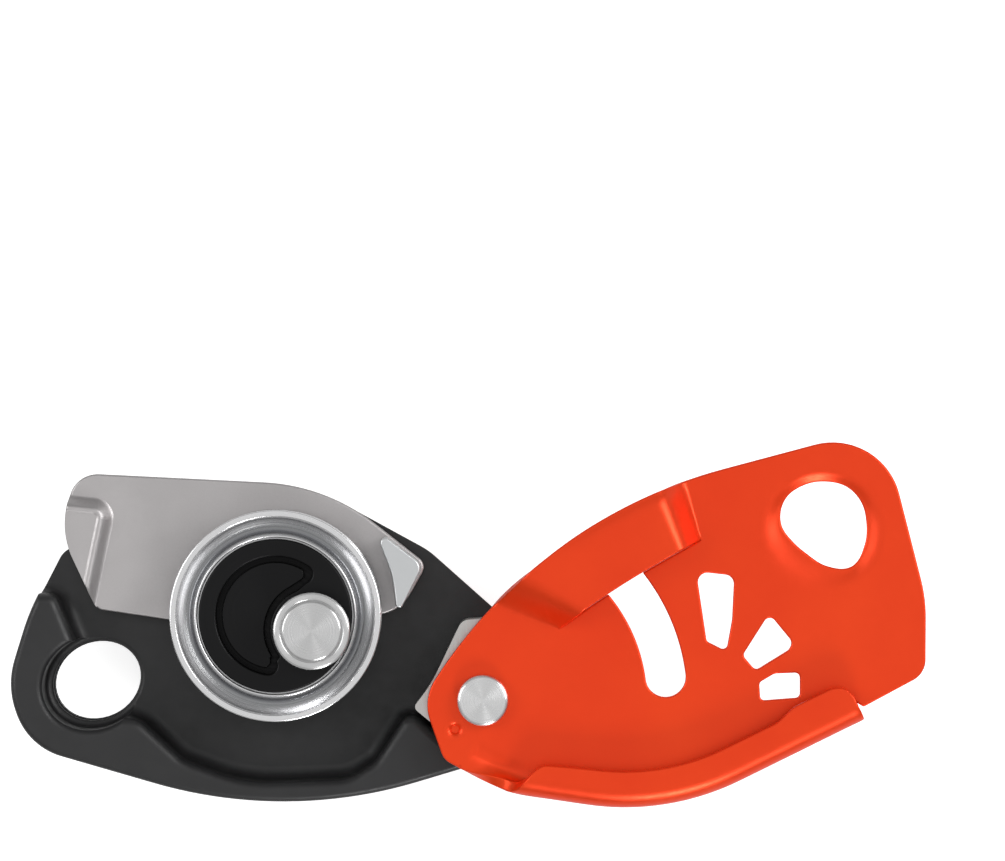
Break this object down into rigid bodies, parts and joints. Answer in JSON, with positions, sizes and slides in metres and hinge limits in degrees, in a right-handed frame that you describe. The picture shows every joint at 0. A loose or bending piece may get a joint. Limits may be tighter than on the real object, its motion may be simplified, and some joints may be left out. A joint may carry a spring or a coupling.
{
  "type": "cam-assisted belay device",
  "caption": "Cam-assisted belay device lying open: black body, rope wheel on a swinging cam, orange side plate swung out on its rivet, folded release handle behind",
  "frame": {"origin": "middle of the footprint, on the surface that the device lies on", "axes": "+X from the body's attachment hole towards the opened side plate, +Y towards the upper edge in the picture, +Z out of the open rope side towards the user"},
  "size_m": [0.1762, 0.07, 0.0426],
  "materials": {
    "nylon": "fine textured",
    "handle_nylon": "satin",
    "dark_plate": "dark anodised",
    "black_alloy": "black anodised",
    "blasted_stainless": "bead blasted",
    "stainless": "satin",
    "bright_steel": "turned and brushed",
    "steel": "zinc plated",
    "acetal": "plain",
    "orange_plate": "orange lacquer",
    "rubber": "matte"
  },
  "bodies": {
    "frame": {"body_shell": "nylon", "fixed_side_plate": "dark_plate", "friction_shoe": "stainless", "shoe_pin": "steel", "plate_rivet": "bright_steel", "rivet_spacer": "steel", "rivet_washer": "acetal", "rivet_back_collar": "steel", "shell_screw_1": "steel", "shell_screw_2": "steel", "shell_screw_3": "steel", "cam_axle": "bright_steel", "axle_back_nut": "steel", "cam_washer": "acetal", "cam_return_spring": "steel"},
    "cam": {"cam_plate": "blasted_stainless", "cam_nose": "stainless", "wheel_hub": "black_alloy", "drive_pin": "steel", "hub_screw_1": "steel", "hub_screw_2": "steel"},
    "rope_wheel": {"wheel": "bright_steel", "wheel_bush": "acetal", "wheel_thrust_washer": "acetal"},
    "side_plate": {"moving_side_plate": "orange_plate"},
    "driver": {"handle_driver": "handle_nylon", "handle_pivot_pin": "steel", "handle_pivot_washer": "acetal"},
    "lever": {"handle_lever": "handle_nylon", "handle_insert": "rubber"}
  },
  "joints": [
    {"name": "side_plate_swing", "type": "hinge", "parent": "frame", "child": "side_plate", "pos_m": [0.00305, -0.01451, 0.0356], "axis": [0, 0, 1], "range_deg": [-10, 150]},
    {"name": "cam_pivot", "type": "hinge", "parent": "frame", "child": "cam", "pos_m": [-0.02975, -0.00119, 0.021], "axis": [0, 0, 1], "range_deg": [-28, 0], "stiffness_Nm_per_rad": 0.02, "springref_deg": 14.32},
    {"name": "wheel_spin", "type": "hinge", "parent": "cam", "child": "rope_wheel", "pos_m": [-0.0369, 0.00157, 0.0288], "axis": [0, 0, 1], "continuous": true},
    {"name": "handle_drive", "type": "hinge", "parent": "frame", "child": "driver", "pos_m": [-0.02975, -0.00119, 0.009], "axis": [0, 0, 1], "range_deg": [-28, 0]},
    {"name": "handle_fold", "type": "hinge", "parent": "driver", "child": "lever", "pos_m": [-0.01004, -0.01496, 0.003], "axis": [0, 0, 1], "range_deg": [0, 150]}
  ],
  "couplings": [
    {"joint": "handle_drive", "follows": "cam_pivot", "ratio": 1}
  ]
}
